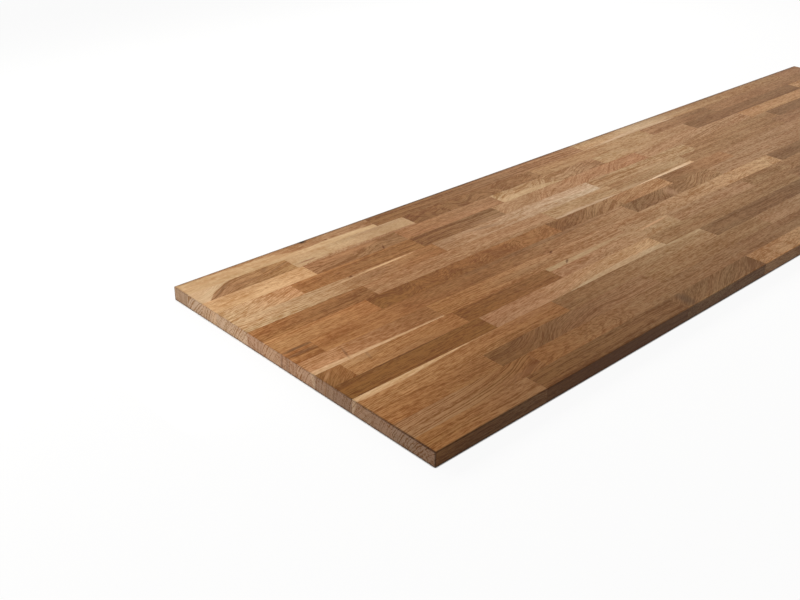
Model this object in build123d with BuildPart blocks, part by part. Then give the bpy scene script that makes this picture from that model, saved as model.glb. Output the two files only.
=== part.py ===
from build123d import *
import os

# Solid oak worktop, glued up from full-thickness staves and oiled.
# X runs along the worktop from its left-hand end, Y from the front edge to the back edge, Z up.
# The origin is the centre of the underside. Sizes are in millimetres.

# Driving sizes
panel_length = 2200.0
panel_thickness = 26.0
stave_width = 43.24
glue_line = 0.1
eased_radius = 0.8
shortest_offcut = 40.0

# Stave lengths from the left-hand end, front row first, down to the last butt joint that was measured
measured_staves = [
    [237, 380],
    [289, 288],
    [235, 427],
    [456],
    [319, 487],
    [50, 248, 246, 384],
    [281, 513],
    [59, 347, 490],
    [219, 483, 211, 179],
    [250, 491, 223, 280],
    [466, 479, 380],
    [155, 293, 234, 504],
    [219, 228, 278, 351, 384],
    [210, 300, 393, 429],
    [443, 663],
]

# Stave lengths from the stock pile, used in turn to run every row on to the right-hand end;
# each row starts one stave further down the pile, so that neighbouring joints stay apart
stock_staves = [260, 430, 395, 465, 540, 290, 620, 330]

# Sizes that follow
row_count = len(measured_staves)
row_pitch = stave_width + glue_line
panel_width = row_count * row_pitch - glue_line
left_end = -panel_length / 2
right_end = panel_length / 2
front_edge = -panel_width / 2


def stave_length(row, place):
    """Length of the stave at one place in a row, counted from the left-hand end."""
    measured = measured_staves[row]
    if place < len(measured):
        return measured[place]
    from_pile = row + place - len(measured)
    return stock_staves[from_pile % len(stock_staves)]


def stave_spans(row):
    """Left and right ends of the staves in a row, with a glue line at each butt joint."""
    spans = []
    left = left_end
    while left < right_end:
        right = left + stave_length(row, len(spans))
        # The last stave is sawn off with the panel, and takes up an offcut too short to glue in
        if right_end - right < glue_line + shortest_offcut:
            right = right_end
        spans.append((left, right))
        left = right + glue_line
    return spans


def panel_arrises(stave_row, row):
    """Edges of a row that lie on the outside corners of the panel."""
    along = stave_row.edges().filter_by(Axis.X)
    across = stave_row.edges().filter_by(Axis.Y)
    upright = stave_row.edges().filter_by(Axis.Z)
    arrises = across.group_by(Axis.X)[0] + across.group_by(Axis.X)[-1]
    panel_corners = upright.group_by(Axis.X)[0] + upright.group_by(Axis.X)[-1]
    if row == 0:
        arrises += along.group_by(Axis.Y)[0]
        arrises += panel_corners.group_by(Axis.Y)[0]
    if row == row_count - 1:
        arrises += along.group_by(Axis.Y)[-1]
        arrises += panel_corners.group_by(Axis.Y)[-1]
    return arrises


def lay_row(row):
    """One row of staves, with its outside edges eased as on the sanded panel."""
    middle = front_edge + row * row_pitch + stave_width / 2
    with BuildPart() as stave_row:
        with BuildSketch(Plane.XY):
            for left, right in stave_spans(row):
                with Locations(((left + right) / 2, middle)):
                    Rectangle(right - left, stave_width)
        extrude(amount=panel_thickness)
        fillet(panel_arrises(stave_row, row), radius=eased_radius)
    stave_row.part.label = f"stave_row_{row + 1:02d}"
    return stave_row


os.makedirs("parts", exist_ok=True)
for row in range(row_count):
    stave_row = lay_row(row)
    export_step(stave_row.part, f"parts/{stave_row.part.label}.step")
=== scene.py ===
import logging
import math
import random
from dataclasses import dataclass, field, replace
from enum import Enum
from functools import partial

import bmesh
import bpy
from mathutils import Euler, Matrix, Vector, noise


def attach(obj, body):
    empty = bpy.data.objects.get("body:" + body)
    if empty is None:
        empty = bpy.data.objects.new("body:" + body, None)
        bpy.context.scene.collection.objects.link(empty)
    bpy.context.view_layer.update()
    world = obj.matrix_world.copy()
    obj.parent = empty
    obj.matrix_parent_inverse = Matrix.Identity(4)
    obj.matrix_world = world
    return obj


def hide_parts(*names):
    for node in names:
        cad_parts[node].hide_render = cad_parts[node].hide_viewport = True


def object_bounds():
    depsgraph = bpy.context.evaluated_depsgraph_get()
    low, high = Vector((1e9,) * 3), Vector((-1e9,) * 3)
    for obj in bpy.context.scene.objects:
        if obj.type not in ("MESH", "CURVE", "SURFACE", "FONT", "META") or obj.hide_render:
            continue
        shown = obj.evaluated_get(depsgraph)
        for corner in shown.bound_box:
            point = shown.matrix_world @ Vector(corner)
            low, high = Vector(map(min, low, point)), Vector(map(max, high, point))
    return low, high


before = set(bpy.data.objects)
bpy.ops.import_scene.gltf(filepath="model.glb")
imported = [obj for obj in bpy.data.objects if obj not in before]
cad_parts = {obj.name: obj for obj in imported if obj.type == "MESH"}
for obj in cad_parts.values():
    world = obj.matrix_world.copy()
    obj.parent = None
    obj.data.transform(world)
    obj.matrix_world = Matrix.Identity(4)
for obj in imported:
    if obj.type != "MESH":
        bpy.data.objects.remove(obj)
PANEL_LOW, PANEL_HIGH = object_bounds()
log = logging.getLogger("worktop")

MM = 0.001
# Metres within which points lie on one plane, and within which they are one
TOUCHING, SAME_SPOT = 1e-6, 1e-7

# The panel's outer planes, the lower ones on the three axes and then the upper ones, and the numbers of some
PLANES = (*PANEL_LOW, *PANEL_HIGH)
LEFT, FRONT, BACK, TOP = 0, 1, 4, 5

Colour = tuple[float, float, float, float]
Steps = tuple[float, ...]
Tree = bpy.types.NodeTree
Socket = bpy.types.NodeSocket

WHITE: Colour = (1.0, 1.0, 1.0, 1.0)
# What makes a Mix node mix colours: its inputs are then 0 for the share, 6 and 7
IN_COLOUR = {"output": 2, "data_type": "RGBA"}


def linear(code: str) -> Colour:
    """Turns an sRGB hex value, six digits after a hash sign, into linear colour with an alpha of 1."""
    shares = [int(code[at:at + 2], 16) / 255 for at in (1, 3, 5)]
    return (*(s / 12.92 if s <= 0.04045 else ((s + 0.055) / 1.055) ** 2.4 for s in shares), 1.0)


def blank_tree(owner: bpy.types.Material | bpy.types.World) -> Tree:
    """Gives a new material or world a node tree with nothing in it."""
    owner.use_nodes = True
    owner.node_tree.nodes.clear()
    return owner.node_tree


def add_node(tree: Tree, kind: str, inputs: dict | tuple = (), output: int | str = 0,
             **settings: object) -> Socket:
    """Adds one shader node with its settings and links.

    Args:
        tree: The material's or world's node tree.
        kind: The node's type without its ShaderNode prefix, then its operation where it has one.
        inputs: Values or sockets for the node's inputs, in order, or by name or number.
        output: The output wanted, by name or number.
        settings: The node's own properties.

    Returns:
        The output socket that was asked for.
    """
    kind, _, operation = kind.partition(" ")
    node = tree.nodes.new("ShaderNode" + kind)
    if operation:
        node.operation = operation
    for name, value in settings.items():
        setattr(node, name, value)
    for key, value in inputs.items() if isinstance(inputs, dict) else enumerate(inputs):
        if isinstance(value, Socket):
            tree.links.new(value, node.inputs[key])
        else:
            node.inputs[key].default_value = value
    return node.outputs[output] if node.outputs else None


def put_in_scene(name: str, data: bpy.types.ID) -> bpy.types.Object:
    """Makes an object of a mesh, lamp or camera and links it to the scene."""
    made = bpy.data.objects.new(name, data)
    bpy.context.scene.collection.objects.link(made)
    return made


def at_share(steps: Steps, share: float) -> float:
    """Reads a smooth curve that runs through values at even steps.

    Args:
        steps: The values, from the left end to the right.
        share: The place between the two ends, from 0 to 1.

    Returns:
        The curve's value there.
    """
    place = min(max(share, 0.0), 0.9999) * (len(steps) - 1)
    at = int(place)
    before, here, ahead, after = (steps[min(max(at + n, 0), len(steps) - 1)] for n in (-1, 0, 1, 2))
    t = place - at
    bend = (2 * before - 5 * here + 4 * ahead - after) * t + (3 * here - before - 3 * ahead + after) * t * t
    return here + 0.5 * t * (ahead - before + bend)


class Tone(Enum):
    """Oak as a maker sorts it by tone: the mean colour of the oiled face."""

    MILK = "#DDBD9B"
    CREAM = "#DBB488"
    PEACH = "#D3AB82"
    OAT = "#C09F7B"
    BARLEY = "#C59C71"
    BUTTER = "#BE9B74"
    APRICOT = "#BB8A60"
    HONEY = "#BD956C"
    ASH = "#BC9E80"
    STRAW = "#B79670"
    SAND = "#B0855C"
    WHEAT = "#AE8C66"
    AMBER = "#AE7D4E"
    OLIVE_TAN = "#A5815B"
    BISCUIT = "#A57D58"
    GOLDEN = "#A57041"
    TOFFEE = "#A37652"
    FAWN = "#A27B57"
    CLAY = "#A0754E"
    COPPER = "#9B693B"
    TAN = "#99734D"
    CARAMEL = "#996F44"
    HAZEL = "#956D4A"
    CHESTNUT = "#936439"
    SORREL = "#936741"
    ROSE = "#916A46"
    BRONZE = "#8D6034"
    RUSSET = "#895C32"
    MOCHA = "#89633E"
    COCOA = "#835F3C"
    UMBER = "#805B38"
    MOSS = "#805224"
    SMOKE = "#79512B"


@dataclass(frozen=True)
class Grain:
    """How a stave lay in its log, which sets the lines on its faces. Lengths are in millimetres.

    Attributes:
        pith: From the stave's middle to the log's centre.
        turn: Degrees to that centre, 0 straight below the face and 90 beside it.
        slope: How far the grain runs across for each millimetre along.
        rise: How far the rings dive below the face for each millimetre along.
        wave: Height of the grain's bends.
        wave_length: From bend to bend.
        course: How far the grain has swung towards the back edge, at even steps from the stave's left
            end to its right.
        ring: One year's growth.
        contrast: How dark the porous early wood is, about 0 to 1, more on the plainest rings.
        streak: How strong the streaks along the grain are, on the same scale.
        ripple: How strong the bright bands across the grain are, from 0 to 1.
    """

    pith: float = 140.0
    turn: float = 70.0
    slope: float = 0.01
    rise: float = 0.004
    wave: float = 1.0
    wave_length: float = 240.0
    course: Steps = (0.0, 0.0)
    ring: float = 4.0
    contrast: float = 0.4
    streak: float = 0.6
    ripple: float = 0.0


class Figure(Enum):
    """The figures of oak in this worktop, from quiet to wild."""

    QUIET = Grain(contrast=0.25, streak=0.4)
    STRAIGHT = Grain()
    STREAKED = Grain(ring=5.5, contrast=0.6, streak=0.95, slope=-0.015)
    SWEPT = Grain(ring=5.4, contrast=2.3, streak=0.6, wave=0.6, course=(0, 1, 3, 8, 17, 36))
    LEANING = Grain(slope=0.12, ring=4.5, contrast=0.4, streak=0.6, wave=2.0)
    DIAGONAL = Grain(slope=0.7, wave=2.5, wave_length=120.0, ring=4.5, contrast=0.5, streak=0.6)
    CATHEDRAL = Grain(pith=48.0, turn=4.0, rise=0.085, wave=2.2, wave_length=150.0, ring=3.6, contrast=0.4)
    WILD = Grain(pith=62.0, turn=-14.0, rise=0.12, slope=0.2, wave=5.0, wave_length=130.0, ring=4.5,
                 contrast=0.45, streak=0.6)
    CURLY = Grain(pith=70.0, turn=25.0, rise=0.05, slope=0.05, wave=6.0, wave_length=90.0, ring=5.0,
                  contrast=0.45, ripple=0.25)

    def bent(self, **changes: float | Steps) -> Grain:
        """Gives this figure's grain with some of its values changed for one stave."""
        return replace(self.value, **changes)


class Edge(Enum):
    """The long edge of a stave that a strip of sapwood lies along."""

    FRONT = -1
    BACK = 1


@dataclass(frozen=True)
class Sapwood:
    """A pale strip of the log's outer wood along one edge of a stave.

    Attributes:
        edge: The stave's edge that it lies along.
        tone: Its tone.
        widths: Its widths in millimetres at even steps from the stave's left end to its right,
            negative where it has run out.
        lean: How far its inner side leans through the thickness, for each millimetre down.
    """

    edge: Edge
    tone: Tone
    widths: Steps
    lean: float = 0.35


@dataclass(frozen=True)
class Look:
    """What one stave looks like.

    Attributes:
        left: Tone at its left end.
        right: Tone at its right end.
        grain: Its grain.
        sapwood: Its strip of sapwood, if it has one.
    """

    left: Tone
    right: Tone
    grain: Grain = Figure.STRAIGHT.value
    sapwood: Sapwood | None = None


@dataclass(frozen=True)
class Mark:
    """A pin knot, filled crack, drift of another tone or patch of painted shade, in millimetres from the
    panel's left front corner.

    Attributes:
        along: Distance from the left end.
        across: Distance from the front edge.
        length: Its size along the panel.
        width: Its size across the panel.
        strength: How much of its colour shows, from 0 to 1.
        colour: Its sRGB colour.
        turn: Degrees that its length is turned towards the back edge.
        lift: How far the rings round it bend.
        reach: How far from it the rings still bend.
    """

    along: float
    across: float
    length: float
    width: float
    strength: float
    colour: str = "#5C2E0A"
    turn: float = 0.0
    lift: float = 0.0
    reach: float = 16.0


# Pin knots, filled cracks, and single dark or pale lines
KNOTS = (
    Mark(283, 646, 16, 11, 1.0, "#1E0D04", lift=3), Mark(325, 626, 8, 4.5, 0.85, lift=3),
    Mark(522, 601, 30, 6, 0.95, turn=24, lift=6, reach=40), Mark(540, 583, 44, 6, 0.6, turn=-46),
    Mark(386, 527, 16, 4, 1.0, turn=58, lift=8, reach=30),
    Mark(410, 545, 60, 4.5, 0.4, "#6A4528", turn=-38), Mark(258, 474, 9, 6, 1.0, lift=3),
    Mark(611, 301, 18, 6, 1.0, turn=32, lift=3), Mark(604, 256, 22, 4.5, 0.85, turn=35, lift=3),
    Mark(79, 281, 34, 5, 0.5, "#5A3620", turn=72, lift=2),
    Mark(103, 256, 40, 6, 0.42, "#5A3620", turn=72, lift=2),
    Mark(240, 577, 46, 6, 0.7, "#7A4A2C", lift=1), Mark(600, 461, 96, 9, 0.6, "#8A6C50", turn=-11),
    Mark(342, 472, 135, 5.2, 0.85, "#DDB68A", turn=1), Mark(230, 467, 80, 5, 0.5, "#CBA680", turn=4),
    Mark(875, 250, 110, 7, 0.8, "#D2A680", turn=3, lift=4, reach=30),
    Mark(14, 247, 34, 6, 0.6, "#B88A60", turn=38),
    Mark(640, 22, 26, 50, 0.5, "#4A3626", turn=-14, lift=6, reach=30),
    Mark(1045, 322, 28, 50, 0.45, "#C29A78", turn=-20, lift=9, reach=36),
    Mark(30, 342, 80, 7, 0.75, "#52351F"), Mark(30, 327, 80, 10, 0.55, "#5C3C24"),
    Mark(55, 584, 66, 5, 0.6, "#6E4A2C", turn=34), Mark(112, 582, 90, 5, 0.55, "#6E4A2C"),
    Mark(183, 590, 60, 5, 0.55, "#6E4A2C", turn=18), Mark(158, 598, 30, 12, 0.45, "#6E4A2C", turn=30),
    Mark(335, 573, 180, 5, 0.35, "#A0704A", turn=-3), Mark(440, 566, 190, 5, 0.5, "#7A4A2C"),
    Mark(805, 551, 70, 6, 0.55, "#7C5A36", turn=-26, lift=6, reach=20),
    Mark(905, 544, 44, 5, 0.5, "#7C5A36", turn=-40, lift=6, reach=20),
    Mark(1005, 471, 60, 6, 0.5, "#7C5A36", turn=12),
)

# Broad, faint drifts of tone within a stave, a dark glue line, and painted shade on some outer edges
DRIFTS_AND_PAINTED_SHADE = (
    Mark(300, 498, 190, 40, 0.22, "#54341A"), Mark(450, 108, 220, 40, 0.16, "#54341A"),
    Mark(775, 628, 330, 40, 0.18, "#54341A"), Mark(1370, 628, 240, 34, 0.36, "#D6BFA0"),
    Mark(130, 412, 120, 40, 0.14, "#54341A"), Mark(445, 583, 190, 44, 0.3, "#7C5A36"),
    Mark(160, 215.6, 320, 1.7, 0.65, "#3E2410"), Mark(80, 252, 80, 16, 0.3, "#D9AE80"),
    Mark(180, 223, 160, 18, 0.2, "#54341A"), Mark(440, 340, 90, 20, 0.24, "#54341A"),
    Mark(492, 464, 90, 26, 0.3, "#6E4A2C"), Mark(640, 484, 100, 17, 0.22, "#C9A27C"),
    Mark(1045, 571, 160, 17, 0.25, "#D0A880"), Mark(395, 166, 140, 17, 0.2, "#C9966A"),
    Mark(500, 281, 160, 18, 0.2, "#54341A"), Mark(620, 527, 220, 17, 0.2, "#C99C74"),
    Mark(75, 557, 170, 17, 0.2, "#7A5028"), Mark(830, 556, 130, 17, 0.5, "#8A6238"),
    Mark(1553, 627, 130, 10, 0.25, "#D2B490"), Mark(1553, 645, 170, 15, 0.6, "#8A6440"),
    Mark(1000, 396, 110, 15, 0.4, "#D2B490"), Mark(640, 341, 460, 14, 0.3, "#54341A"),
    Mark(1135, 440, 120, 15, 0.35, "#D2B490"), Mark(300, 455, 110, 30, 0.22, "#54341A"),
    Mark(110, 528, 260, 16, 0.3, "#E6C094"), Mark(333, 556, 120, 17, 0.3, "#C9966A"),
    Mark(240, 52, 130, 17, 0.3, "#A07450"), Mark(435, 601, 190, 14, 0.3, "#6E4A2C"),
    # The last three marks are painted shade: on the front edge with its side face, and on the left end by the
    # back corner
    Mark(135, 470, 150, 17, 0.2, "#7A5028"), Mark(95, 0.6, 260, 5, 0.34, "#2E2008"),
    Mark(0.4, 624, 5, 60, 0.3, "#6E4A2C"), Mark(450, 0.6, 500, 5, 0.72, "#5C3206"),
)

# What the mesh carries for the material, with the output of the node that reads it
CARRIED = {"log_place": "Vector", "grain": "Vector", "tone": "Color", "sapwood_tone": "Color",
           "sapwood_mm": "Fac", "ripple": "Fac", "arris": "Fac", "end_grain": "Fac"}

# Uneven patterns in the wood, by size along and across the grain in millimetres, detail and swing
FLECKS, CLOUDS = (15, 1.7, 3, 1.0), (80, 30, 2, 0.2)
BROAD_STREAKS, THIN_STREAKS = (320, 11, 2, 0.42), (160, 3.6, 3, 0.5)

# How often and by how many years the growth wanders, and the share of a year that is early wood
YEAR_PACE, YEAR_WANDER, EARLY_SHARE = 0.45, 2.6, 0.38

# A ray's length, thickness and height in millimetres, and how far from the pith it is that thick
RAY, RAY_RADIUS = (8, 1.9, 12), 150.0

# How often a mark's edge is torn in each metre, and how deeply
TORN_PACE, TORN_DEPTH = 240.0, 0.9

# What stands for a depth in the sapwood where a stave has none
NO_SAPWOOD = -99.0

# Seeds of what is drawn: one a stave, and one for each look beyond those in sight
STAVE_SEED, STOCK_SEED = 1000, 77

# The staves in sight: the front row first, and each row from the left-hand end
LAY_UP = (
    (Look(Tone.COPPER, Tone.SORREL, Figure.STRAIGHT.bent(contrast=0.4, streak=0.75)),
     Look(Tone.SMOKE, Tone.UMBER, Figure.STREAKED.bent(slope=0, contrast=1.1)),
     Look(Tone.COCOA, Tone.COCOA, Figure.DIAGONAL.bent(slope=0.5, contrast=0.7))),
    (Look(Tone.CLAY, Tone.RUSSET, Figure.SWEPT.value),
     Look(Tone.CHESTNUT, Tone.ROSE, Figure.CATHEDRAL.bent(pith=60, rise=0.12, streak=0.4)),
     Look(Tone.ROSE, Tone.ROSE)),
    (Look(Tone.GOLDEN, Tone.CHESTNUT, Figure.STREAKED.bent(slope=-0.03, ring=4.6, contrast=0.7)),
     Look(Tone.SMOKE, Tone.HAZEL, Figure.DIAGONAL.bent(
          slope=0, wave=1.5, ring=3.6, contrast=0.8, course=(0, 3, 25, 57, 75, 80, 82, 82, 82))),
     Look(Tone.TAN, Tone.TAN, Figure.QUIET.value)),
    (Look(Tone.AMBER, Tone.CHESTNUT,
          Figure.STRAIGHT.bent(contrast=0.55, streak=0.7, course=(0, 3, 9, 12, 12)),
          Sapwood(Edge.BACK, Tone.CREAM, (11, 11.5, 9, 4, 0.5, -1.5, -4, -6))),
     Look(Tone.MOCHA, Tone.OLIVE_TAN, Figure.QUIET.value,
          Sapwood(Edge.BACK, Tone.STRAW, (-9, -9, -9, -6, 5, 7)))),
    (Look(Tone.MOSS, Tone.MOSS, Figure.STREAKED.bent(slope=0.03, ring=5, contrast=1.5, streak=0.7)),
     Look(Tone.TOFFEE, Tone.HONEY, Figure.LEANING.bent(contrast=0.2, streak=0.3),
          Sapwood(Edge.FRONT, Tone.OAT, (-9, -9, -2, 7, 12, 13, 11))),
     Look(Tone.TAN, Tone.TAN)),
    (Look(Tone.BRONZE, Tone.COPPER, Figure.DIAGONAL.bent(contrast=0.3, streak=0.4)),
     Look(Tone.AMBER, Tone.COPPER, Figure.STRAIGHT.bent(slope=0.06, contrast=0.25, streak=0.5)),
     Look(Tone.MOSS, Tone.RUSSET),
     Look(Tone.TOFFEE, Tone.WHEAT, Figure.CATHEDRAL.bent(contrast=0.25, streak=0.45),
          Sapwood(Edge.BACK, Tone.STRAW, (13, 12, 9, 3, -4, -8))),
     Look(Tone.FAWN, Tone.FAWN, Figure.STREAKED.value)),
    (Look(Tone.APRICOT, Tone.CHESTNUT, Figure.STRAIGHT.bent(contrast=0.25, streak=0.35),
          Sapwood(Edge.FRONT, Tone.PEACH, (11.5, 9, 6.5, 4.5, 2.5))),
     Look(Tone.COPPER, Tone.BISCUIT, Figure.STREAKED.value),
     Look(Tone.BISCUIT, Tone.HONEY, Figure.CATHEDRAL.bent(contrast=0.3))),
    (Look(Tone.GOLDEN, Tone.COPPER, Figure.STREAKED.value),
     Look(Tone.GOLDEN, Tone.RUSSET, Figure.STRAIGHT.bent(contrast=0.2, streak=0.4)),
     Look(Tone.RUSSET, Tone.BISCUIT),
     Look(Tone.COCOA, Tone.TAN, Figure.WILD.bent(ring=6.5, contrast=0.95, slope=0.35, wave=5))),
    (Look(Tone.AMBER, Tone.GOLDEN, Figure.STRAIGHT.bent(contrast=0.2, streak=0.4)),
     Look(Tone.MOSS, Tone.CHESTNUT, Figure.CURLY.bent(contrast=0.45, ripple=0.5)),
     Look(Tone.SMOKE, Tone.TAN,
          Figure.DIAGONAL.bent(slope=0.6, wave=3.5, ring=4.2, contrast=0.45, streak=0.9)),
     Look(Tone.CLAY, Tone.SAND, Figure.LEANING.bent(slope=0.25, ring=8, contrast=0.4)),
     Look(Tone.MOCHA, Tone.CLAY)),
    (Look(Tone.COPPER, Tone.RUSSET, Figure.STREAKED.bent(slope=0.04, streak=0.9)),
     Look(Tone.CLAY, Tone.FAWN),
     Look(Tone.OLIVE_TAN, Tone.OLIVE_TAN, Figure.STRAIGHT.bent(slope=-0.09, ring=6, streak=0.9),
          Sapwood(Edge.FRONT, Tone.ASH, (6, 8, 7, 6, -2))),
     Look(Tone.TAN, Tone.WHEAT, Figure.STRAIGHT.bent(streak=0.4),
          Sapwood(Edge.FRONT, Tone.MILK, (-3, 2.5, 5.5, 9, 12))),
     Look(Tone.TAN, Tone.TAN)),
    (Look(Tone.BUTTER, Tone.CHESTNUT, Figure.STRAIGHT.bent(contrast=0.25, streak=0.5)),
     Look(Tone.FAWN, Tone.ASH, Figure.QUIET.bent(wave=2.5, contrast=0.4)),
     Look(Tone.OLIVE_TAN, Tone.WHEAT, Figure.STREAKED.bent(contrast=0.9, streak=1.2, ring=6.5)),
     Look(Tone.TAN, Tone.TAN)),
    (Look(Tone.BUTTER, Tone.APRICOT,
          Figure.LEANING.bent(contrast=0.25, streak=0.65, course=(0, 4, 14, 26))),
     Look(Tone.COPPER, Tone.BRONZE, Figure.STRAIGHT.bent(contrast=0.4, streak=0.9)),
     Look(Tone.SMOKE, Tone.COCOA,
          Figure.STREAKED.bent(contrast=1.2, streak=1.7, ring=9, course=(0, 5, 5, 4))),
     Look(Tone.FAWN, Tone.TOFFEE,
          Figure.WILD.bent(wave=8, slope=0.3, ring=13, contrast=0.4, streak=0.3)),
     Look(Tone.FAWN, Tone.FAWN, Figure.LEANING.bent(contrast=0.6, streak=0.9))),
    (Look(Tone.BARLEY, Tone.BARLEY, Figure.STRAIGHT.bent(contrast=0.06, streak=0.12, slope=0.03)),
     Look(Tone.SORREL, Tone.MOCHA,
          Figure.CATHEDRAL.bent(pith=27, turn=0, rise=0.03, wave=1.2, ring=2.6, contrast=0.8, streak=0.3)),
     Look(Tone.SORREL, Tone.HAZEL, Figure.STRAIGHT.bent(streak=0.45)),
     Look(Tone.WHEAT, Tone.HAZEL, Figure.WILD.bent(contrast=0.65, streak=0.8, ring=6.5),
          Sapwood(Edge.FRONT, Tone.STRAW, (20, 18, 17, 13, 0, -9, -9, -9))),
     Look(Tone.WHEAT, Tone.FAWN, Figure.STRAIGHT.bent(contrast=0.15, streak=0.25)),
     Look(Tone.UMBER, Tone.UMBER)),
    (Look(Tone.HAZEL, Tone.CARAMEL,
          Figure.SWEPT.bent(ring=7, contrast=0.7, streak=0.6, course=(30, 40, 58, 66, 68, 74, 80)),
          Sapwood(Edge.BACK, Tone.OAT, (60, 35, 14, 3, -4, -9, -9, -9, -9))),
     Look(Tone.FAWN, Tone.FAWN,
          Figure.CATHEDRAL.bent(pith=40, turn=0, rise=0.22, ring=3, contrast=0.5, streak=0.5),
          Sapwood(Edge.BACK, Tone.STRAW, (42, 36, 34, 37, 37, 38))),
     Look(Tone.SMOKE, Tone.MOCHA, Figure.CURLY.bent(ripple=0, contrast=0.7)),
     Look(Tone.TAN, Tone.OLIVE_TAN, Figure.STREAKED.bent(contrast=0.35, streak=0.6)),
     Look(Tone.HAZEL, Tone.COCOA)),
    (Look(Tone.SAND, Tone.HAZEL, Figure.STRAIGHT.bent(contrast=0.3, streak=0.4),
          Sapwood(Edge.FRONT, Tone.BUTTER, (45, 37, 33, 31, 15, 15, 15, 11))),
     Look(Tone.SMOKE, Tone.HAZEL, Figure.STREAKED.bent(contrast=1.1, streak=1.2, ring=8)),
     Look(Tone.WHEAT, Tone.TAN, Figure.STRAIGHT.value,
          Sapwood(Edge.FRONT, Tone.ASH, (2, 5, 12, 13, 4, -2, -4, -4)))),
)


@dataclass(frozen=True)
class OiledOak:
    """Solid European oak, planed, sanded and wiped with hard-wax oil.

    The oil deepens the porous early wood, fills its pores and leaves a low satin sheen, so the eye sees
    warm brown wood with darker lines, short dashes along the grain and paler sapwood.

    Attributes:
        end_wood: sRGB colour that the end grain, which soaks up more oil, leans towards.
        end_soak: How far it leans, from 0 to 1.
        dark_tint: What the stave's tone is multiplied by in its darkest wood.
        light_tint: The same in its lightest wood and on its rays.
        pore_tint: The same in a pore.
        arris_tint: The same on the eased edges, as painted shade, darkest at the foot, where it stands for
            the contact shadow.
        edge_highlight_tint: The same where an eased edge is lighter, as a painted highlight.
        rosy: The same in its rosier parts.
        olive: The same in its parts nearer olive.
        roughness: Roughness of close wood and of pores.
        ray_gloss: How much less rough a ray is.
        ior: The dried oil's index of refraction.
        specular: How strong its sheen is; 0.5 would be a varnished surface.
        relief_mm: Depth of the pores in millimetres.
    """

    end_wood: str = "#A68873"
    end_soak: float = 0.6
    dark_tint: Colour = (0.66, 0.52, 0.33, 1)
    light_tint: Colour = (1.26, 1.38, 1.54, 1)
    pore_tint: Colour = (0.56, 0.43, 0.28, 1)
    arris_tint: Colour = (0.26, 0.21, 0.17, 1)
    edge_highlight_tint: Colour = (1.5, 1.5, 1.5, 1)
    rosy: Colour = (1.02, 0.985, 0.97, 1)
    olive: Colour = (0.985, 1.01, 1.01, 1)
    roughness: tuple[float, float] = (0.50, 0.64)
    ray_gloss: float = 0.05
    ior: float = 1.48
    specular: float = 0.1
    relief_mm: float = 0.12

    def material(self, name: str, marks: tuple[Mark, ...]) -> bpy.types.Material:
        """Makes the wood's material, with the marks that show on its stave."""
        made = bpy.data.materials.new(name)
        OakPattern(self, blank_tree(made)).draw(marks)
        return made


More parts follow.
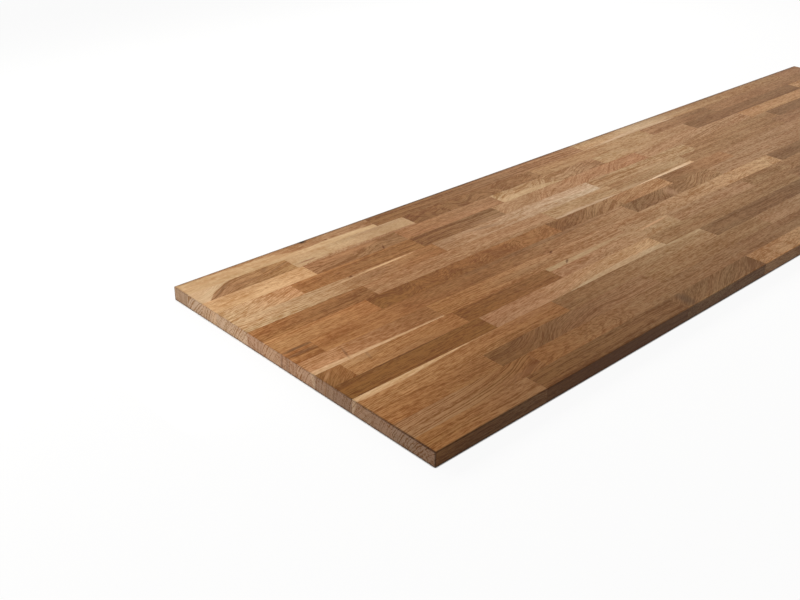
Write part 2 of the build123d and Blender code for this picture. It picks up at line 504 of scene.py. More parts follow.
class OakPattern:
    """The solid pattern of oiled oak, drawn with one material's nodes.

    It is worked out in the log's own millimetres, so a stave's faces and its ends agree. A MapRange
    node's inputs are its value, the two ends of the value's range and what they turn into.

    Attributes:
        oak: The wood and its oil.
        add: Adds a node to the material, as add_node does.
        carried: What the stave's mesh carries, by name.
        end: 1 on end grain and 0 elsewhere.
        ring, contrast, streak: The stave's own values, as in its grain.
        place: The place in the log.
        radius: Millimetres from the pith.
        early: 1 in the early wood and 0 in the late wood.
        pale: 1 in the sapwood and 0 in the heartwood.
        pores: 1 in a pore and 0 in close wood.
        rays: 1 in a ray and 0 elsewhere.
    """

    def __init__(self, oak: OiledOak, tree: Tree) -> None:
        """Reads what the stave's mesh carries, and lays out the parts of the wood.

        Args:
            oak: The wood and its oil.
            tree: The material's empty node tree.
        """
        self.oak, self.add = oak, partial(add_node, tree)
        self.carried = {name: self.add("Attribute", output=output, attribute_name=name)
                        for name, output in CARRIED.items()}
        self.end = self.carried["end_grain"]
        self.ring, self.contrast, self.streak = self.add("SeparateXYZ", (self.carried["grain"],)).node.outputs
        self.place = self.log_place()
        outwards = self.add("VectorMath MULTIPLY", (self.place, (0, 1, 1)))
        self.radius = self.add("VectorMath LENGTH", (outwards,), "Value")
        self.early = self.early_wood()
        self.pale = self.sapwood_share()
        self.pores = self.open_pores()
        self.rays = self.ray_sheets()

    def draw(self, marks: tuple[Mark, ...]) -> None:
        """Joins the patterns into the shader.

        Args:
            marks: The marks that show on the stave.
        """
        colour = self.marked(self.grained(self.board_tone(), self.shade()), marks)
        rough = self.add("MapRange", (self.pores, 0, 1, *self.oak.roughness))
        rough = self.add("Math MULTIPLY_ADD", (self.rays, -self.oak.ray_gloss, rough))
        shader = self.add("BsdfPrincipled", {
            "Base Color": colour, "IOR": self.oak.ior, "Specular IOR Level": self.oak.specular,
            "Roughness": rough, "Normal": self.relief()})
        self.add("OutputMaterial", {"Surface": shader})

    def uneven(self, along: float, across: float, detail: float = 2.0, output: str = "Fac") -> Socket:
        """Makes an uneven pattern that is stretched along the grain.

        Args:
            along: Size of the pattern along the grain, in millimetres.
            across: Its size across the grain.
            detail: How many finer patterns it holds.
            output: The pattern's value or its colour.

        Returns:
            The pattern, from 0 to 1.
        """
        scaled = self.add("VectorMath MULTIPLY", (self.place, (1 / along, 1 / across, 1 / across)))
        return self.add("TexNoise", {"Vector": scaled, "Scale": 1.0, "Detail": detail}, output)

    def swinging(self, along: float, across: float, detail: float, swing: float) -> Socket:
        """Makes such a pattern that swings evenly to both sides of 0.

        Args:
            along: Size of the pattern along the grain, in millimetres.
            across: Its size across the grain.
            detail: How many finer patterns it holds.
            swing: How far it mostly swings.

        Returns:
            The pattern, which may swing further here and there.
        """
        pattern = self.uneven(along, across, detail)
        return self.add("MapRange", (pattern, 0.3, 0.7, -swing, swing), clamp=False)

    def log_place(self) -> Socket:
        """Reads the place in the log in millimetres, with the 2.5 mm wander that all grain has."""
        self.place = self.add("VectorMath MULTIPLY", (self.carried["log_place"], (1 / MM,) * 3))
        wander = self.add("VectorMath SUBTRACT", (self.uneven(75, 12, 3, "Color"), (0.5, 0.5, 0.5)))
        bent = self.add("VectorMath MULTIPLY", (wander, (0, 5, 5)))
        return self.add("VectorMath ADD", (self.place, bent))

    def early_wood(self) -> Socket:
        """Draws uneven years of growth, whose early wood starts sharply and fades."""
        years = self.add("Math DIVIDE", (self.radius, self.ring))
        uneven = self.add("TexNoise", {"W": years, "Scale": YEAR_PACE, "Detail": 1.0}, noise_dimensions="1D")
        share = self.add("Math FRACT", (self.add("Math MULTIPLY_ADD", (uneven, YEAR_WANDER, years)),))
        fading = self.add("MapRange", (share, 0, EARLY_SHARE, 1, 0), interpolation_type="SMOOTHSTEP")
        starting = self.add("MapRange", (share, 0.9, 1), interpolation_type="SMOOTHSTEP")
        return self.add("Math MAXIMUM", (fading, starting))

    def sapwood_share(self) -> Socket:
        """Finds the sapwood, whose edge is soft and wanders by up to 6 mm."""
        depth = self.add("Math MULTIPLY_ADD", (self.uneven(90, 4), 6.0, self.carried["sapwood_mm"]))
        return self.add("MapRange", (depth, 1.2, 4.8), interpolation_type="SMOOTHSTEP")

    def open_pores(self) -> Socket:
        """Draws the vessels, thick in the early wood: 9 mm long, and drawn 1 mm wide instead of 0.3."""
        vessels = self.add("MapRange", (self.uneven(9, 1, 1), 0.52, 0.70))
        crowd = self.add("MapRange", (self.early, 0, 1, 0.35, 1.0))
        crowd = self.add("Mix", {0: self.pale, 2: crowd, 3: 0.25})
        return self.add("Math MULTIPLY", (vessels, crowd))

    def ray_sheets(self) -> Socket:
        """Draws the medullary rays, thin sheets that stand out from the pith.

        They are drawn 1.9 mm thick instead of 0.4, so that they show.
        """
        along, across, up = self.add("SeparateXYZ", (self.place,)).node.outputs
        arc = self.add("Math MULTIPLY", (self.add("Math ARCTAN2", (across, up)), RAY_RADIUS))
        sheet = self.add("CombineXYZ", (along, arc, self.radius))
        scaled = self.add("VectorMath MULTIPLY", (sheet, tuple(1 / size for size in RAY)))
        thick = self.add("TexNoise", {"Vector": scaled, "Scale": 1.0, "Detail": 0.0})
        return self.add("MapRange", (thick, 0.58, 0.74))

    def rings(self) -> Socket:
        """Gives how light the rings are round 0.5: plain on end grain, faint in sapwood, uneven elsewhere."""
        light = self.add("MapRange", (self.early, 0, 1, 0.19, -0.58))
        patch = self.add("MapRange", (self.uneven(130, 22, 1), 0.32, 0.68, 0.3, 1.7))
        clear = self.add("Math MULTIPLY", (self.contrast, patch))
        clear = self.add("Mix", {0: self.pale, 2: clear, 3: 0.12})
        clear = self.add("Mix", {0: self.end, 2: clear, 3: 2.1})
        return self.add("Math MULTIPLY_ADD", (light, clear, 0.5))

    def shade(self) -> Socket:
        """Adds up how light the wood is, from its rings, flecks, clouds, streaks and ripple.

        Returns:
            The lightness from 0 to 1, 0.5 on average.
        """
        lively = self.add("Math MULTIPLY_ADD", (self.streak, 0.40, 0.43))
        lively = self.add("Mix", {0: self.pale, 2: lively, 3: 0.22})
        light = self.add("Math MULTIPLY_ADD", (self.swinging(*FLECKS), lively, self.rings()))
        light = self.add("Math ADD", (light, self.swinging(*CLOUDS)))
        streaks = self.add("Math ADD", (self.swinging(*BROAD_STREAKS), self.swinging(*THIN_STREAKS)))
        strength = self.add("Mix", {0: self.pale, 2: self.streak, 3: 0.2})
        light = self.add("Math MULTIPLY_ADD", (streaks, strength, light))
        return self.add("Math ADD", (light, self.ripple()), use_clamp=True)

    def ripple(self) -> Socket:
        """Draws the bright and dull bands, about 14 mm apart, that wavy grain shows across the stave."""
        patch = self.add("MapRange", (self.uneven(60, 30, 1), 0.4, 0.62))
        strength = self.add("Math MULTIPLY", (self.carried["ripple"], patch))
        skewed = self.add("VectorMath DOT_PRODUCT", (self.place, (0.42, -0.34, 0.3)), "Value")
        turned = self.add("Math MULTIPLY_ADD", (self.uneven(30, 12), 9.0, skewed))
        band = self.add("Math MULTIPLY", (self.add("Math SINE", (turned,)), 0.28))
        return self.add("Math MULTIPLY", (band, strength))

    def board_tone(self) -> Socket:
        """Gives the board's tone, which drifts between rosy and olive and is greyer on end grain."""
        tones = {0: self.pale, 6: self.carried["tone"], 7: self.carried["sapwood_tone"]}
        wood = self.add("Mix", tones, **IN_COLOUR)
        hue = self.add("MapRange", (self.uneven(230, 24, 1), 0.34, 0.66))
        hue = self.add("Mix", {0: hue, 6: self.oak.rosy, 7: self.oak.olive}, **IN_COLOUR)
        wood = self.add("Mix", {0: 1.0, 6: wood, 7: hue}, **IN_COLOUR, blend_type="MULTIPLY")
        soaked = self.add("Math MULTIPLY", (self.end, self.oak.end_soak))
        return self.add("Mix", {0: soaked, 6: wood, 7: linear(self.oak.end_wood)}, **IN_COLOUR)

    def grained(self, wood: Socket, shade: Socket) -> Socket:
        """Shades the board's tone with its grain, its pores and rays, and the painted shade and painted
        highlight of its eased edges.

        Args:
            wood: The board's tone.
            shade: How light the wood is, from 0 to 1.

        Returns:
            The wood's colour.
        """
        oak = self.oak
        tint = self.add("Mix", {0: shade, 6: oak.dark_tint, 7: oak.light_tint}, **IN_COLOUR)
        flecked = self.add("Math MULTIPLY", (self.rays, self.add("MapRange", (self.end, 0, 1, 0.3, 1.0))))
        tint = self.add("Mix", {0: flecked, 6: tint, 7: oak.light_tint}, **IN_COLOUR)
        pored = self.add("Math MULTIPLY", (self.pores, 0.9))
        tint = self.add("Mix", {0: pored, 6: tint, 7: oak.pore_tint}, **IN_COLOUR)
        # Painted shade darkens the eased edges, most at the foot, where it stands for the contact shadow; a
        # painted highlight lightens the front edge towards the right
        arris = self.carried["arris"]
        edge_tint = self.add("Mix", {0: arris, 6: WHITE, 7: oak.arris_tint}, **IN_COLOUR)
        edge_lit = self.add("MapRange", (arris, 0, -0.4))
        edge_tint = self.add("Mix", {0: edge_lit, 6: edge_tint, 7: oak.edge_highlight_tint}, **IN_COLOUR)
        tint = self.add("Mix", {0: 1.0, 6: tint, 7: edge_tint}, **IN_COLOUR, blend_type="MULTIPLY")
        return self.add("Mix", {0: 1.0, 6: wood, 7: tint}, **IN_COLOUR, blend_type="MULTIPLY")

    def marked(self, colour: Socket, marks: tuple[Mark, ...]) -> Socket:
        """Lays each mark over the wood, as a spot with a ragged edge that goes through the stave.

        Args:
            colour: The wood's colour.
            marks: The stave's marks.

        Returns:
            The colour with its marks.
        """
        spot = self.add("TexCoord", output="Object")
        ragged = self.add("TexNoise", {"Vector": spot, "Scale": TORN_PACE, "Detail": 2.0})
        for mark in marks:
            middle = (PANEL_LOW.x + mark.along * MM, PANEL_LOW.y + mark.across * MM, 0)
            away = self.add("VectorMath SUBTRACT", (spot, middle))
            away = self.add("VectorRotate", {"Vector": away, "Angle": -math.radians(mark.turn)},
                            rotation_type="Z_AXIS")
            halves = (2 / (mark.length * MM), 2 / (mark.width * MM), 0)
            away = self.add("VectorMath MULTIPLY", (away, halves))
            away = self.add("VectorMath LENGTH", (away,), "Value")
            away = self.add("Math MULTIPLY_ADD", (ragged, TORN_DEPTH, away))
            share = self.add("MapRange", (away, 0.8, 1.8, mark.strength, 0))
            colour = self.add("Mix", {0: share, 6: colour, 7: linear(mark.colour)}, **IN_COLOUR)
        return colour

    def relief(self) -> Socket:
        """Sinks the pores and, less, the softer early wood."""
        sunk = self.add("Math MULTIPLY_ADD", (self.early, 0.25, self.pores))
        height = self.add("Math SUBTRACT", (1.0, sunk))
        return self.add("Bump", {"Height": height, "Strength": 0.35, "Distance": self.oak.relief_mm * MM})


# Each face's strip on the flat pattern, by its axis and whether it faces along it: the strip's left, right,
# lower and upper side in shares of the pattern. The grain is finer across than along, so strips are high
STRIPS = {
    (2, True): (0.02, 0.98, 0.02, 0.35), (2, False): (0.02, 0.98, 0.37, 0.63),
    (1, False): (0.02, 0.98, 0.65, 0.76), (1, True): (0.02, 0.98, 0.78, 0.88),
    (0, False): (0.02, 0.34, 0.90, 0.98), (0, True): (0.36, 0.68, 0.90, 0.98),
}

# How dark the painted shade on the top's eased edge is, at even steps over so many metres along the front and
# up the left end, and how dark the upright corner between them is; below 0 the edge gets a painted highlight
# instead
FRONT_ARRIS, FRONT_RUN = (0.72, 0.6, 0.42, 0.2, 0.04, -0.06, -0.4), 0.6
LEFT_ARRIS, LEFT_RUN = (1.05, 0.74, 0.38, 0.26, 0.18, 0.22, 0.4), 0.65
CORNER_ARRIS = 0.55

# How much wider the painted shade of the back edge fades out than elsewhere, at even steps over so many
# metres
BACK_SPREAD, BACK_RUN = (1.7, 2.7, 3.4, 3.7), 1.6

# Degrees of turn below which a stave is flat-sawn, how far such a turn and a steeper one may stray, and
# between which shares of its distance the pith is drawn
FLAT_SAWN, FLAT_STRAY, STEEP_STRAY, PITH_SHARES = 40, 6, 24, (0.85, 1.15)

# Size in millimetres of the slow bends in all grain, along and across it, and their step from row to row
SLOW_BENDS, ROW_STEP = (180, 60), 3.7
# How much further the rings bend along a knot than across it
KNOT_STRETCH = 1.6


@dataclass
class Stave:
    """One full-thickness stave of a row.

    Attributes:
        row: The row's number, from 1 at the front edge.
        place: The stave's place in the row, from 1 at the left-hand end.
        low: Its lowest corner, in metres.
        high: Its highest corner.
        look: What it looks like.
        eased: Radius of the panel's eased edges, in metres.
        grid: Spacing of the mesh's points along and across, in metres, close enough for bent grain.
        arris_segments: Faces round an eased edge.
        arris_fade: Width in metres over which the painted shade of an arris fades into the face.
        log_length: Length in millimetres of the log that it was sawn from.
        end_tilt: How far a face's normal points along the stave where its wood shows as end grain.
        chance: Its own chance, the same in every run.
        marks: The marks that lie on it.
    """

    row: int
    place: int
    low: Vector
    high: Vector
    look: Look
    eased: float
    grid: tuple[float, float] = (0.012, 0.0075)
    arris_segments: int = 3
    arris_fade: float = 0.0022
    log_length: float = 4000.0
    end_tilt: float = 0.35
    chance: random.Random = field(init=False)
    marks: tuple[Mark, ...] = field(init=False)

    def __post_init__(self) -> None:
        """Seeds the stave's own chance and finds its marks."""
        self.chance = random.Random(STAVE_SEED * self.row + self.place)
        self.marks = tuple(mark for mark in KNOTS + DRIFTS_AND_PAINTED_SHADE if self.holds(mark))

    @property
    def name(self) -> str:
        """The piece's name."""
        return f"stave_{self.row:02d}_{self.place:02d}"

    @property
    def size(self) -> Vector:
        """The stave's length, width and thickness in metres."""
        return self.high - self.low

    def off_mark(self, mark: Mark, spot: Vector) -> tuple[float, float]:
        """Gives how far a point lies along and across from a mark, in millimetres."""
        return ((spot.x - PANEL_LOW.x) / MM - mark.along, (spot.y - PANEL_LOW.y) / MM - mark.across)

    def holds(self, mark: Mark) -> bool:
        """Tells whether a mark's middle lies on the stave."""
        past, ahead = self.off_mark(mark, self.high), self.off_mark(mark, self.low)
        return past[0] > 0 > ahead[0] and past[1] > 0 > ahead[1]

    def build(self, oak: bpy.types.Material) -> bpy.types.Object:
        """Makes the stave's mesh and dresses it.

        Args:
            oak: The wood's material.

        Returns:
            The stave's object, linked to the scene.
        """
        shape = self.block()
        mesh = bpy.data.meshes.new(self.name)
        shape.to_mesh(mesh)
        shape.free()
        mesh.materials.append(oak)
        self.dress(mesh)
        self.unfold(mesh)
        return put_in_scene(self.name, mesh)

    def block(self) -> bmesh.types.BMesh:
        """Cuts the stave as a grid of points, with the edges on the panel's outline rounded.

        Returns:
            The stave's mesh, still to be written and freed.
        """
        shape = bmesh.new()
        bmesh.ops.create_cube(shape, size=1.0)
        size = self.size
        for vert in shape.verts:
            vert.co = Vector(self.low[i] + (vert.co[i] + 0.5) * size[i] for i in range(3))
        inset = self.eased + self.arris_fade
        for axis, step in enumerate((*self.grid, self.grid[1])):
            count = max(2, round(size[axis] / step))
            cuts = [self.low[axis] + size[axis] * cut / count for cut in range(1, count)]
            if self.low[axis] < PANEL_LOW[axis] + TOUCHING:
                cuts.append(PANEL_LOW[axis] + inset)
            if self.high[axis] > PANEL_HIGH[axis] - TOUCHING:
                cuts.append(PANEL_HIGH[axis] - inset)
            for cut in cuts:
                middle = self.low.copy()
                middle[axis] = cut
                normal = Vector(1.0 if i == axis else 0.0 for i in range(3))
                parts = shape.verts[:] + shape.edges[:] + shape.faces[:]
                bmesh.ops.bisect_plane(shape, geom=parts, plane_co=middle, plane_no=normal, dist=SAME_SPOT)
        outline = [edge for edge in shape.edges
                   if len(on_planes(edge.verts[0].co) & on_planes(edge.verts[1].co)) > 1]
        if outline:
            rounded = bmesh.ops.bevel(shape, geom=outline, offset=self.eased, offset_type="OFFSET",
                                      segments=self.arris_segments, profile=0.5, affect="EDGES")
            for face in rounded["faces"]:
                face.smooth = True
        return shape

    def dress(self, mesh: bpy.types.Mesh) -> None:
        """Writes on the mesh where it lay in the log, its tone, its sapwood and its end grain.

        Args:
            mesh: The stave's mesh.
        """
        grain, strip, count = self.look.grain, self.look.sapwood, len(mesh.vertices)
        pith = Vector((self.chance.uniform(0, self.log_length), *self.pith_place(grain)))
        pale = linear((strip.tone if strip else self.look.left).value)
        spots = [vert.co for vert in mesh.vertices]
        places = [self.on_board(spot) for spot in spots]
        rows = (("log_place", "FLOAT_VECTOR", "vector",
                 [part for place in places for part in (self.in_log(grain, *place) + pith) * MM]),
                ("tone", "FLOAT_COLOR", "color", [part for at in places for part in self.tone_at(at[0])]),
                ("sapwood_mm", "FLOAT", "value", [self.sapwood_at(*place) for place in places]),
                ("grain", "FLOAT_VECTOR", "vector", (grain.ring, grain.contrast, grain.streak) * count),
                ("sapwood_tone", "FLOAT_COLOR", "color", pale * count),
                ("ripple", "FLOAT", "value", (grain.ripple,) * count),
                ("arris", "FLOAT", "value", [self.arris_at(spot) for spot in spots]))
        for name, kind, part, values in rows:
            mesh.attributes.new(name, kind, "POINT").data.foreach_set(part, values)
        ends = [float(abs(face.normal.x) > self.end_tilt) for face in mesh.polygons]
        mesh.attributes.new("end_grain", "FLOAT", "FACE").data.foreach_set("value", ends)

    def unfold(self, mesh: bpy.types.Mesh) -> None:
        """Lays the stave's faces out flat in strips, so that fine grain keeps its detail when baked.

        Args:
            mesh: The stave's mesh.
        """
        sheet, size = mesh.uv_layers.new(name="OFBake"), self.size
        for face in mesh.polygons:
            axis = max(range(3), key=lambda i: abs(face.normal[i]))
            left, right, low, high = STRIPS[axis, face.normal[axis] > 0]
            for corner in face.loop_indices:
                co = mesh.vertices[mesh.loops[corner].vertex_index].co
                along, up = (min(1.0, max(0.0, (co[i] - self.low[i]) / size[i]))
                             for i in range(3) if i != axis)
                sheet.data[corner].uv = (left + (right - left) * along, low + (high - low) * up)

    def arris_at(self, spot: Vector) -> float:
        """Gives how much painted shade darkens the wood by an outer edge, negative where a painted highlight
        lightens it.

        Args:
            spot: A point of the mesh.

        Returns:
            1 where the edge is darkest, 0 away from it.
        """
        gaps = sorted((abs(spot[n % 3] - side), n) for n, side in enumerate(PLANES))
        along, across = spot.x - PANEL_LOW.x, spot.y - PANEL_LOW.y
        sides = {gaps[0][1], gaps[1][1]}
        spread = at_share(BACK_SPREAD, along / BACK_RUN) if sides == {BACK, TOP} else 1
        near = min(1.0, 1 - (gaps[1][0] - self.eased) / (self.arris_fade * spread))
        if near <= 0:
            return 0.0
        if sides == {FRONT, TOP}:
            return near * at_share(FRONT_ARRIS, along / FRONT_RUN)
        if sides == {LEFT, TOP}:
            return near * at_share(LEFT_ARRIS, across / LEFT_RUN)
        # Other outer edges, the foot among them, get the full painted shade
        return near * CORNER_ARRIS if sides == {LEFT, FRONT} else near

    def on_board(self, spot: Vector) -> tuple[float, float, float]:
        """Gives a point's place on the stave, in millimetres from its left end and from its middle."""
        middle = (self.low + self.high) / 2
        return ((spot.x - self.low.x) / MM, (spot.y - middle.y) / MM, (spot.z - middle.z) / MM)

    def pith_place(self, grain: Grain) -> tuple[float, float]:
        """Gives the stave's place in its log, which is drawn closer where the figure depends on it.

        Args:
            grain: The stave's grain.

        Returns:
            Millimetres across and up from the pith.
        """
        stray = FLAT_STRAY if abs(grain.turn) < FLAT_SAWN else STEEP_STRAY
        turn = math.radians(grain.turn + self.chance.uniform(-1, 1) * stray)
        pith = grain.pith * self.chance.uniform(*PITH_SHARES)
        return (pith * math.sin(turn), pith * math.cos(turn))

    def in_log(self, grain: Grain, along: float, across: float, up: float) -> Vector:
        """Bends the board's straight lines into the grain's own.

        Args:
            grain: The stave's grain.
            along: Millimetres from the stave's left end.
            across: Millimetres from its middle towards the back.
            up: Millimetres above its middle.

        Returns:
            The place in the log, in millimetres, with the pith's own place still to be added.
        """
        phase = math.tau * along / grain.wave_length
        slow = noise.noise(Vector((along / SLOW_BENDS[0], across / SLOW_BENDS[1],
                                   self.row * ROW_STEP + self.place)))
        drift = at_share(grain.course, along * MM / self.size.x)
        drift += grain.slope * along + grain.wave * math.sin(phase)
        # The rings wave in depth as well, less high, longer and out of step
        lift = grain.rise * along + grain.wave * (0.6 * math.sin(phase * 0.7 + 1) + slow)
        for mark in self.marks:
            ahead, aside = self.off_mark(mark, self.low + Vector((along, across, 0)) * MM)
            aside = (aside + self.size.y / 2 / MM) / mark.reach
            lift += mark.lift * math.exp(-(ahead / (KNOT_STRETCH * mark.reach)) ** 2 - aside ** 2)
        return Vector((along, across - drift, up + lift))

    def tone_at(self, along: float) -> Colour:
        """Blends the stave's two tones along it, in linear colour, at millimetres from its left end."""
        share = min(1.0, max(0.0, along * MM / self.size.x))
        share = share * share * (3 - 2 * share)
        left, right = linear(self.look.left.value), linear(self.look.right.value)
        return tuple(a + (b - a) * share for a, b in zip(left, right))

    def sapwood_at(self, along: float, across: float, up: float) -> float:
        """Gives how far inside the sapwood a point lies, whose inner side slants through the thickness.

        Args:
            along: Millimetres from the stave's left end.
            across: Millimetres from its middle towards the back.
            up: Millimetres above its middle.

        Returns:
            Millimetres inside, negative in the heartwood.
        """
        strip, size = self.look.sapwood, self.size / MM
        if strip is None:
            return NO_SAPWOOD
        from_edge = size.y / 2 - across * strip.edge.value
        return at_share(strip.widths, along / size.x) - from_edge + strip.lean * (up - size.z / 2)


def on_planes(spot: Vector) -> set[int]:
    """Gives the panel's outer planes that a point lies on, by number."""
    return {n for n, side in enumerate(PLANES) if abs(spot[n % 3] - side) < TOUCHING}


@dataclass
class StaveRow:
    """One row of staves, glued end to end.

    Attributes:
        number: The row's number, from 1 at the front edge.
        eased: Radius of the panel's eased edges, in metres.
    """

    number: int
    eased: float

    @property
    def node(self) -> str:
        """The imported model's node for this row."""
        return f"stave_row_{self.number:02d}"

    def boxes(self) -> list[tuple[Vector, Vector]]:
        """Reads where the row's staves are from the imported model.

        Returns:
            The lowest and highest corner of each stave, from the left-hand end.
        """
        shape = bmesh.new()
        shape.from_mesh(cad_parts[self.node].data)
        bmesh.ops.remove_doubles(shape, verts=shape.verts, dist=TOUCHING)
        waiting, found = set(shape.verts), []
        while waiting:
            spread, island = {waiting.pop()}, []
            while spread:
                vert = spread.pop()
                island.append(vert.co.copy())
                beside = {edge.other_vert(vert) for edge in vert.link_edges} & waiting
                spread |= beside
                waiting -= beside
            found.append(tuple(Vector(pick(co[i] for co in island) for i in range(3)) for pick in (min, max)))
        shape.free()
        return sorted(found, key=lambda corners: corners[0].x)

    def look(self, place: int) -> Look:
        """Gives a stave's look: chosen for those in sight, and drawn from the same stock beyond them.

        Args:
            place: The stave's place in the row, from 1.

        Returns:
            Its look.
        """
        chosen = LAY_UP[self.number - 1]
        if place <= len(chosen):
            return chosen[place - 1]
        chance = random.Random(STOCK_SEED * self.number + place)
        tone = chance.choice((Tone.WHEAT, Tone.TAN, Tone.FAWN, Tone.HAZEL, Tone.SAND, Tone.ROSE, Tone.COCOA))
        figure = chance.choice((Figure.QUIET, Figure.STRAIGHT, Figure.STREAKED, Figure.CATHEDRAL))
        return Look(tone, tone, figure.value)

    def build(self, finish: OiledOak, clear_oak: bpy.types.Material) -> None:
        """Builds the row's staves, each riding with the panel and standing for its packed row.

        Args:
            finish: The wood and its oil.
            clear_oak: The material of staves with no mark.
        """
        for place, (low, high) in enumerate(self.boxes(), 1):
            stave = Stave(self.number, place, low, high, self.look(place), self.eased)
            oak = finish.material("knotty_" + stave.name, stave.marks) if stave.marks else clear_oak
            piece = stave.build(oak)
            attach(piece, "root")
            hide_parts(self.node)
            log.info("%s: %.0f mm long, %s", piece.name, stave.size.x / MM, oak.name)


@dataclass
class Worktop:
    """The glued-up panel.

    Attributes:
        finish: Its wood and oil.
    """

    finish: OiledOak = field(default_factory=OiledOak)

    def eased_radius(self) -> float:
        """Reads the radius of the eased edges from the left-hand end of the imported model's middle row."""
        spots = [v.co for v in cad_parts["stave_row_08"].data.vertices]
        return min(co.x for co in spots if PANEL_HIGH.z - co.z < TOUCHING) - PANEL_LOW.x

    def build(self) -> None:
        """Builds every row in turn."""
        clear_oak = self.finish.material("oiled_oak", ())
        eased = self.eased_radius()
        log.info("edges eased by %.2f mm", eased / MM)
        for number in range(1, len(LAY_UP) + 1):
            StaveRow(number, eased).build(self.finish, clear_oak)


@dataclass(frozen=True)
class PaperFloor:
    """A matt white studio floor that keeps a soft shadow and throws little light back up.

    Attributes:
        to_camera: Its sRGB colour to the camera and in reflections.
        to_object: Its sRGB colour for the light that it throws back.
        glow: How much of its own white it shows near the panel, from 0 to 1.
        far: Distances from the panel's middle, in metres, between which the glow rises to all white.
        contact: Width in metres of the dark line where the panel meets it.
        foot: Shares of open surroundings between which that line fades out.
        size: Its length and width in metres.
        inset: Metres that it reaches under the panel; it is open further in, so that light from below
            reaches the underside.
        gap: Metres between it and the underside, so that the two don't flicker.
    """

    to_camera: str = "#FFFFFF"
    to_object: str = "#A0A0A0"
    glow: float = 0.935
    far: tuple[float, float] = (2.0, 6.0)
    contact: float = 0.003
    foot: tuple[float, float] = (0.55, 0.85)
    size: float = 30.0
    inset: float = 0.003
    gap: float = 0.2 * MM

    def build(self) -> None:
        """Lays the floor round the panel as a ring of four faces."""
        shape = bmesh.new()
        inner = (PANEL_HIGH.x - self.inset, PANEL_HIGH.y - self.inset)
        corners = ((-1, -1), (1, -1), (1, 1), (-1, 1))
        spots = [shape.verts.new((x * across, y * deep, 0)) for across, deep in ((self.size / 2,) * 2, inner)
                 for x, y in corners]
        for n in range(4):
            ahead = (n + 1) % 4
            shape.faces.new((spots[n], spots[ahead], spots[4 + ahead], spots[4 + n]))
        mesh = bpy.data.meshes.new("paper_floor")
        shape.to_mesh(mesh)
        shape.free()
        mesh.materials.append(self.material())
        made = put_in_scene("paper_floor", mesh)
        made.location.z = PANEL_LOW.z - self.gap

    def material(self) -> bpy.types.Material:
        """Makes the paper: white to the camera and in reflections, greyer for the light it throws back.

        Returns:
            The material, clear from below and darker within the contact line.
        """
        made = bpy.data.materials.new("white_paper")
        tree = blank_tree(made)
        path = add_node(tree, "LightPath").node.outputs
        seen = add_node(tree, "Math MAXIMUM", (path["Is Camera Ray"], path["Is Glossy Ray"]))
        greys = {0: seen, 6: linear(self.to_object), 7: linear(self.to_camera)}
        matt = add_node(tree, "BsdfDiffuse", {"Color": add_node(tree, "Mix", greys, **IN_COLOUR)})
        white = add_node(tree, "Emission", {"Color": WHITE, "Strength": 1.0})
        open_sky = add_node(tree, "AmbientOcclusion", {"Distance": self.contact}, "AO", samples=8)
        clear_of_foot = add_node(tree, "MapRange", (open_sky, *self.foot))
        away = add_node(tree, "VectorMath LENGTH", (add_node(tree, "TexCoord", output="Object"),), "Value")
        glow = add_node(tree, "MapRange", (away, *self.far, self.glow, 1.0))
        share = add_node(tree, "Math MULTIPLY", (seen, glow))
        share = add_node(tree, "Math MULTIPLY", (share, clear_of_foot))
        above = add_node(tree, "MixShader", (share, matt, white))
        below = add_node(tree, "BsdfTransparent")
        side = add_node(tree, "NewGeometry", output="Backfacing")
        add_node(tree, "OutputMaterial", {"Surface": add_node(tree, "MixShader", (side, above, below))})
        return made


@dataclass(frozen=True)
class SoftLamp:
    """A large soft area lamp that no surface mirrors.

    Attributes:
        name: The lamp's name.
        place: Where it hangs, in metres.
        target: The point that it faces.
        size: Its width and height in metres.
        watts: Its power.
        colour: Its sRGB colour.
    """

    name: str
    place: tuple[float, float, float]
    target: tuple[float, float, float]
    size: tuple[float, float]
    watts: float
    colour: str = "#FFFBF4"

    def build(self) -> None:
        """Hangs the lamp."""
        lamp = bpy.data.lights.new(self.name, "AREA")
        lamp.shape = "RECTANGLE"
        lamp.size, lamp.size_y = self.size
        lamp.energy = self.watts
        lamp.color = linear(self.colour)[:3]
        made = put_in_scene(self.name, lamp)
        made.location = self.place
        made.visible_glossy = False
        made.visible_camera = False
        made.rotation_euler = (Vector(self.target) - Vector(self.place)).to_track_quat("-Z", "Y").to_euler()


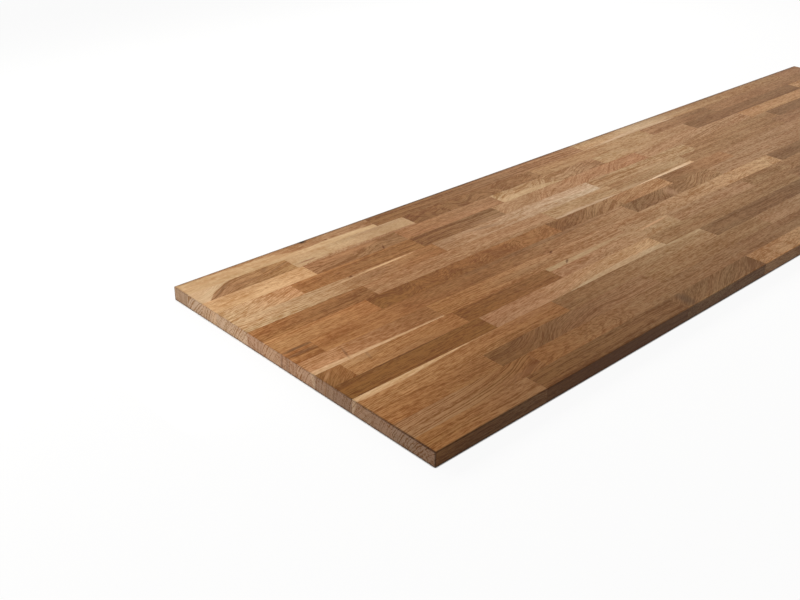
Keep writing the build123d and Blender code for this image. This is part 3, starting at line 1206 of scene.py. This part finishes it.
@dataclass(frozen=True)
class Studio:
    """The light and the white surroundings.

    Attributes:
        ambient: Strength of the even light from all sides.
        floor: The floor.
        lamps: The lamps.
    """

    ambient: float = 0.24
    floor: PaperFloor = PaperFloor()
    lamps: tuple[SoftLamp, ...] = (
        SoftLamp("back_window", (-0.2, 1.45, 1.1), (-0.2, 0.3, 0.0), (3.6, 0.8), 54.0),
        SoftLamp("left_window", (-2.0, 0.95, 0.45), (-1.1, 0.3, 0.0), (0.7, 0.6), 7.5),
        SoftLamp("left_card", (-1.3, 0.09, 0.06), (-1.1, 0.09, 0.02), (0.2, 0.1), 0.19),
        SoftLamp("front_fill", (0.6, -2.6, 0.5), (-0.2, -0.3, 0.0), (2.0, 0.6), 4.4, "#FFE9CF"),
    )

    def build(self) -> None:
        """Sets the world, which is white to the camera and in metal and glass, the floor and the lamps."""
        world = bpy.data.worlds.new("white_surround")
        bpy.context.scene.world = world
        tree = blank_tree(world)
        path = add_node(tree, "LightPath").node.outputs
        seen = add_node(tree, "Math MAXIMUM", (path["Is Camera Ray"], path["Is Glossy Ray"]))
        seen = add_node(tree, "Math MAXIMUM", (seen, path["Is Transmission Ray"]))
        strength = add_node(tree, "MapRange", (seen, 0, 1, self.ambient, 1.0))
        add_node(tree, "OutputWorld", {
            "Surface": add_node(tree, "Background", {"Color": WHITE, "Strength": strength})})
        self.floor.build()
        for lamp in self.lamps:
            lamp.build()


@dataclass(frozen=True)
class Viewpoint:
    """The photograph's viewpoint, solved from the panel's corners, edges and glue lines.

    Attributes:
        from_corner: The camera in metres from the panel's lower left front corner.
        heading: Degrees that it is turned from straight across the panel towards the right.
        down: Degrees that it looks down.
        roll: Degrees that it leans to the left.
        lens: Focal length on a sensor of the width below, in millimetres.
        sensor: Width of the sensor.
    """

    from_corner: tuple[float, float, float] = (-0.8246, -0.7840, 0.8720)
    heading: float = 43.806
    down: float = 28.291
    roll: float = 1.099
    lens: float = 46.477
    sensor: float = 36.0

    def build(self) -> None:
        """Makes the camera and gives it to the scene."""
        data = bpy.data.cameras.new("photo_camera")
        data.lens, data.sensor_width = self.lens, self.sensor
        camera = put_in_scene("photo_camera", data)
        camera.location = PANEL_LOW + Vector(self.from_corner)
        level = Euler((math.radians(90 - self.down), 0, math.radians(-self.heading))).to_matrix()
        camera.rotation_euler = (level @ Matrix.Rotation(math.radians(self.roll), 3, "Z")).to_euler()
        bpy.context.scene.camera = camera


def main() -> None:
    """Builds the worktop, then the studio round it."""
    logging.basicConfig(level=logging.INFO, format="%(name)s: %(message)s")
    bpy.context.scene.view_settings.view_transform = "Standard"
    Worktop().build()
    Studio().build()
    Viewpoint().build()


if __name__ == "__main__":
    main()
